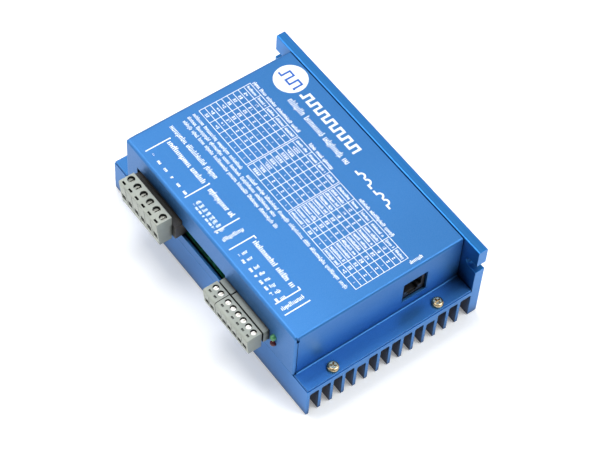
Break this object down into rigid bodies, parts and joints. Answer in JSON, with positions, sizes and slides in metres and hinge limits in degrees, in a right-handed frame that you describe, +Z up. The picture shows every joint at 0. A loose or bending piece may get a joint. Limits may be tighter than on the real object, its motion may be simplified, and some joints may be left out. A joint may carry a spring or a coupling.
{
  "type": "stepper driver module",
  "caption": "Finned heatsink base with an upright slotted mounting flange and a folded sheet cover, pluggable screw terminals along one side, a switch window and a serial jack.",
  "frame": {"origin": "bottom centre of the whole module with its plugs pushed home; the fin tips lie on Z = 0", "axes": "+X along the fins towards the serial jack, -Y out of the terminal blocks, +Y out of the mounting flange's back, +Z up through the cover"},
  "size_m": [0.151, 0.1089, 0.049],
  "materials": {
    "anodised_blue": "satin anodised, fine extrusion grain",
    "painted_blue": "satin powder coat with white print",
    "nickel_screw": "bright nickel",
    "circuit_board": "green solder mask",
    "terminal_grey": "fine moulded texture",
    "tinned_pin": "tinned",
    "clamp_steel": "dull zinc plated",
    "contact_brass": "stamped brass",
    "terminal_screw": "zinc plated",
    "black_moulding": "moulded black",
    "white_slider": "moulded white",
    "green_lens": "tinted clear resin",
    "red_lens": "tinted clear resin",
    "capacitor_sleeve": "shrink sleeve",
    "transistor_case": "moulded epoxy on a tinned tab",
    "bare_aluminium": "milled",
    "thermal_pad": "silicone"
  },
  "bodies": {
    "chassis": {"heatsink": "anodised_blue", "cover": "painted_blue", "cover_screws": "nickel_screw", "inner_screws": "nickel_screw", "main_board": "circuit_board", "board_standoffs": "nickel_screw", "power_header": "terminal_grey", "signal_headers": "terminal_grey", "header_pins": "tinned_pin", "dip_body": "black_moulding", "led_green": "green_lens", "led_red": "red_lens", "serial_jack": "black_moulding", "capacitors": "capacitor_sleeve", "transistors": "transistor_case", "transistor_clamp": "bare_aluminium", "thermal_pad": "thermal_pad", "board_chips": "black_moulding"},
    "power_plug": {"power_plug": "terminal_grey", "power_contacts": "contact_brass"},
    "signal_plug_small": {"signal_plug_small": "terminal_grey", "signal_contacts_small": "contact_brass"},
    "signal_plug_large": {"signal_plug_large": "terminal_grey", "signal_contacts_large": "contact_brass"},
    "power_screw_1": {"power_screw_1": "terminal_screw"},
    "power_cage_1": {"power_cage_1": "clamp_steel"},
    "power_screw_2": {"power_screw_2": "terminal_screw"},
    "power_cage_2": {"power_cage_2": "clamp_steel"},
    "power_screw_3": {"power_screw_3": "terminal_screw"},
    "power_cage_3": {"power_cage_3": "clamp_steel"},
    "power_screw_4": {"power_screw_4": "terminal_screw"},
    "power_cage_4": {"power_cage_4": "clamp_steel"},
    "power_screw_5": {"power_screw_5": "terminal_screw"},
    "power_cage_5": {"power_cage_5": "clamp_steel"},
    "power_screw_6": {"power_screw_6": "terminal_screw"},
    "power_cage_6": {"power_cage_6": "clamp_steel"},
    "signal_screw_1": {"signal_screw_1": "terminal_screw"},
    "signal_cage_1": {"signal_cage_1": "clamp_steel"},
    "signal_screw_2": {"signal_screw_2": "terminal_screw"},
    "signal_cage_2": {"signal_cage_2": "clamp_steel"},
    "signal_screw_3": {"signal_screw_3": "terminal_screw"},
    "signal_cage_3": {"signal_cage_3": "clamp_steel"},
    "signal_screw_4": {"signal_screw_4": "terminal_screw"},
    "signal_cage_4": {"signal_cage_4": "clamp_steel"},
    "signal_screw_5": {"signal_screw_5": "terminal_screw"},
    "signal_cage_5": {"signal_cage_5": "clamp_steel"},
    "signal_screw_6": {"signal_screw_6": "terminal_screw"},
    "signal_cage_6": {"signal_cage_6": "clamp_steel"},
    "signal_screw_7": {"signal_screw_7": "terminal_screw"},
    "signal_cage_7": {"signal_cage_7": "clamp_steel"},
    "signal_screw_8": {"signal_screw_8": "terminal_screw"},
    "signal_cage_8": {"signal_cage_8": "clamp_steel"},
    "dip_slider_1": {"dip_slider_1": "white_slider"},
    "dip_slider_2": {"dip_slider_2": "white_slider"},
    "dip_slider_3": {"dip_slider_3": "white_slider"},
    "dip_slider_4": {"dip_slider_4": "white_slider"},
    "dip_slider_5": {"dip_slider_5": "white_slider"},
    "dip_slider_6": {"dip_slider_6": "white_slider"},
    "dip_slider_7": {"dip_slider_7": "white_slider"},
    "dip_slider_8": {"dip_slider_8": "white_slider"}
  },
  "joints": [
    {"name": "power_plug_pull", "type": "slide", "parent": "chassis", "child": "power_plug", "axis": [0, -1, 0], "range_m": [0, 0.012]},
    {"name": "signal_plug_small_pull", "type": "slide", "parent": "chassis", "child": "signal_plug_small", "axis": [0, -1, 0], "range_m": [0, 0.01]},
    {"name": "signal_plug_large_pull", "type": "slide", "parent": "chassis", "child": "signal_plug_large", "axis": [0, -1, 0], "range_m": [0, 0.01]},
    {"name": "power_screw_1_turn", "type": "hinge", "parent": "power_plug", "child": "power_screw_1", "pos_m": [-0.0506, -0.04925, 0.0364], "axis": [0, 0, -1], "range_deg": [0, 1800]},
    {"name": "power_cage_1_lift", "type": "slide", "parent": "power_plug", "child": "power_cage_1", "axis": [0, 0, 1], "range_m": [0, 0.00225]},
    {"name": "power_screw_2_turn", "type": "hinge", "parent": "power_plug", "child": "power_screw_2", "pos_m": [-0.04552, -0.04925, 0.0364], "axis": [0, 0, -1], "range_deg": [0, 1800]},
    {"name": "power_cage_2_lift", "type": "slide", "parent": "power_plug", "child": "power_cage_2", "axis": [0, 0, 1], "range_m": [0, 0.00225]},
    {"name": "power_screw_3_turn", "type": "hinge", "parent": "power_plug", "child": "power_screw_3", "pos_m": [-0.04044, -0.04925, 0.0364], "axis": [0, 0, -1], "range_deg": [0, 1800]},
    {"name": "power_cage_3_lift", "type": "slide", "parent": "power_plug", "child": "power_cage_3", "axis": [0, 0, 1], "range_m": [0, 0.00225]},
    {"name": "power_screw_4_turn", "type": "hinge", "parent": "power_plug", "child": "power_screw_4", "pos_m": [-0.03536, -0.04925, 0.0364], "axis": [0, 0, -1], "range_deg": [0, 1800]},
    {"name": "power_cage_4_lift", "type": "slide", "parent": "power_plug", "child": "power_cage_4", "axis": [0, 0, 1], "range_m": [0, 0.00225]},
    {"name": "power_screw_5_turn", "type": "hinge", "parent": "power_plug", "child": "power_screw_5", "pos_m": [-0.03028, -0.04925, 0.0364], "axis": [0, 0, -1], "range_deg": [0, 1800]},
    {"name": "power_cage_5_lift", "type": "slide", "parent": "power_plug", "child": "power_cage_5", "axis": [0, 0, 1], "range_m": [0, 0.00225]},
    {"name": "power_screw_6_turn", "type": "hinge", "parent": "power_plug", "child": "power_screw_6", "pos_m": [-0.0252, -0.04925, 0.0364], "axis": [0, 0, -1], "range_deg": [0, 1800]},
    {"name": "power_cage_6_lift", "type": "slide", "parent": "power_plug", "child": "power_cage_6", "axis": [0, 0, 1], "range_m": [0, 0.00225]},
    {"name": "signal_screw_1_turn", "type": "hinge", "parent": "signal_plug_small", "child": "signal_screw_1", "pos_m": [0.0158, -0.0491, 0.0315], "axis": [0, 0, -1], "range_deg": [0, 1080]},
    {"name": "signal_cage_1_lift", "type": "slide", "parent": "signal_plug_small", "child": "signal_cage_1", "axis": [0, 0, 1], "range_m": [0, 0.0012]},
    {"name": "signal_screw_2_turn", "type": "hinge", "parent": "signal_plug_small", "child": "signal_screw_2", "pos_m": [0.01961, -0.0491, 0.0315], "axis": [0, 0, -1], "range_deg": [0, 1080]},
    {"name": "signal_cage_2_lift", "type": "slide", "parent": "signal_plug_small", "child": "signal_cage_2", "axis": [0, 0, 1], "range_m": [0, 0.0012]},
    {"name": "signal_screw_3_turn", "type": "hinge", "parent": "signal_plug_large", "child": "signal_screw_3", "pos_m": [0.02505, -0.0491, 0.0315], "axis": [0, 0, -1], "range_deg": [0, 1080]},
    {"name": "signal_cage_3_lift", "type": "slide", "parent": "signal_plug_large", "child": "signal_cage_3", "axis": [0, 0, 1], "range_m": [0, 0.0012]},
    {"name": "signal_screw_4_turn", "type": "hinge", "parent": "signal_plug_large", "child": "signal_screw_4", "pos_m": [0.02886, -0.0491, 0.0315], "axis": [0, 0, -1], "range_deg": [0, 1080]},
    {"name": "signal_cage_4_lift", "type": "slide", "parent": "signal_plug_large", "child": "signal_cage_4", "axis": [0, 0, 1], "range_m": [0, 0.0012]},
    {"name": "signal_screw_5_turn", "type": "hinge", "parent": "signal_plug_large", "child": "signal_screw_5", "pos_m": [0.03267, -0.0491, 0.0315], "axis": [0, 0, -1], "range_deg": [0, 1080]},
    {"name": "signal_cage_5_lift", "type": "slide", "parent": "signal_plug_large", "child": "signal_cage_5", "axis": [0, 0, 1], "range_m": [0, 0.0012]},
    {"name": "signal_screw_6_turn", "type": "hinge", "parent": "signal_plug_large", "child": "signal_screw_6", "pos_m": [0.03648, -0.0491, 0.0315], "axis": [0, 0, -1], "range_deg": [0, 1080]},
    {"name": "signal_cage_6_lift", "type": "slide", "parent": "signal_plug_large", "child": "signal_cage_6", "axis": [0, 0, 1], "range_m": [0, 0.0012]},
    {"name": "signal_screw_7_turn", "type": "hinge", "parent": "signal_plug_large", "child": "signal_screw_7", "pos_m": [0.04029, -0.0491, 0.0315], "axis": [0, 0, -1], "range_deg": [0, 1080]},
    {"name": "signal_cage_7_lift", "type": "slide", "parent": "signal_plug_large", "child": "signal_cage_7", "axis": [0, 0, 1], "range_m": [0, 0.0012]},
    {"name": "signal_screw_8_turn", "type": "hinge", "parent": "signal_plug_large", "child": "signal_screw_8", "pos_m": [0.0441, -0.0491, 0.0315], "axis": [0, 0, -1], "range_deg": [0, 1080]},
    {"name": "signal_cage_8_lift", "type": "slide", "parent": "signal_plug_large", "child": "signal_cage_8", "axis": [0, 0, 1], "range_m": [0, 0.0012]},
    {"name": "dip_slider_1_shift", "type": "slide", "parent": "chassis", "child": "dip_slider_1", "axis": [0, 0, 1], "range_m": [0, 0.0016]},
    {"name": "dip_slider_2_shift", "type": "slide", "parent": "chassis", "child": "dip_slider_2", "axis": [0, 0, 1], "range_m": [0, 0.0016]},
    {"name": "dip_slider_3_shift", "type": "slide", "parent": "chassis", "child": "dip_slider_3", "axis": [0, 0, 1], "range_m": [0, 0.0016]},
    {"name": "dip_slider_4_shift", "type": "slide", "parent": "chassis", "child": "dip_slider_4", "axis": [0, 0, 1], "range_m": [0, 0.0016]},
    {"name": "dip_slider_5_shift", "type": "slide", "parent": "chassis", "child": "dip_slider_5", "axis": [0, 0, 1], "range_m": [0, 0.0016]},
    {"name": "dip_slider_6_shift", "type": "slide", "parent": "chassis", "child": "dip_slider_6", "axis": [0, 0, 1], "range_m": [0, 0.0016]},
    {"name": "dip_slider_7_shift", "type": "slide", "parent": "chassis", "child": "dip_slider_7", "axis": [0, 0, 1], "range_m": [0, 0.0016]},
    {"name": "dip_slider_8_shift", "type": "slide", "parent": "chassis", "child": "dip_slider_8", "axis": [0, 0, 1], "range_m": [0, 0.0016]}
  ],
  "couplings": [
    {"joint": "power_screw_1_turn", "follows": "power_cage_1_lift", "rad_per_m": 13963},
    {"joint": "power_screw_2_turn", "follows": "power_cage_2_lift", "rad_per_m": 13963},
    {"joint": "power_screw_3_turn", "follows": "power_cage_3_lift", "rad_per_m": 13963},
    {"joint": "power_screw_4_turn", "follows": "power_cage_4_lift", "rad_per_m": 13963},
    {"joint": "power_screw_5_turn", "follows": "power_cage_5_lift", "rad_per_m": 13963},
    {"joint": "power_screw_6_turn", "follows": "power_cage_6_lift", "rad_per_m": 13963},
    {"joint": "signal_screw_1_turn", "follows": "signal_cage_1_lift", "rad_per_m": 15708},
    {"joint": "signal_screw_2_turn", "follows": "signal_cage_2_lift", "rad_per_m": 15708},
    {"joint": "signal_screw_3_turn", "follows": "signal_cage_3_lift", "rad_per_m": 15708},
    {"joint": "signal_screw_4_turn", "follows": "signal_cage_4_lift", "rad_per_m": 15708},
    {"joint": "signal_screw_5_turn", "follows": "signal_cage_5_lift", "rad_per_m": 15708},
    {"joint": "signal_screw_6_turn", "follows": "signal_cage_6_lift", "rad_per_m": 15708},
    {"joint": "signal_screw_7_turn", "follows": "signal_cage_7_lift", "rad_per_m": 15708},
    {"joint": "signal_screw_8_turn", "follows": "signal_cage_8_lift", "rad_per_m": 15708}
  ]
}
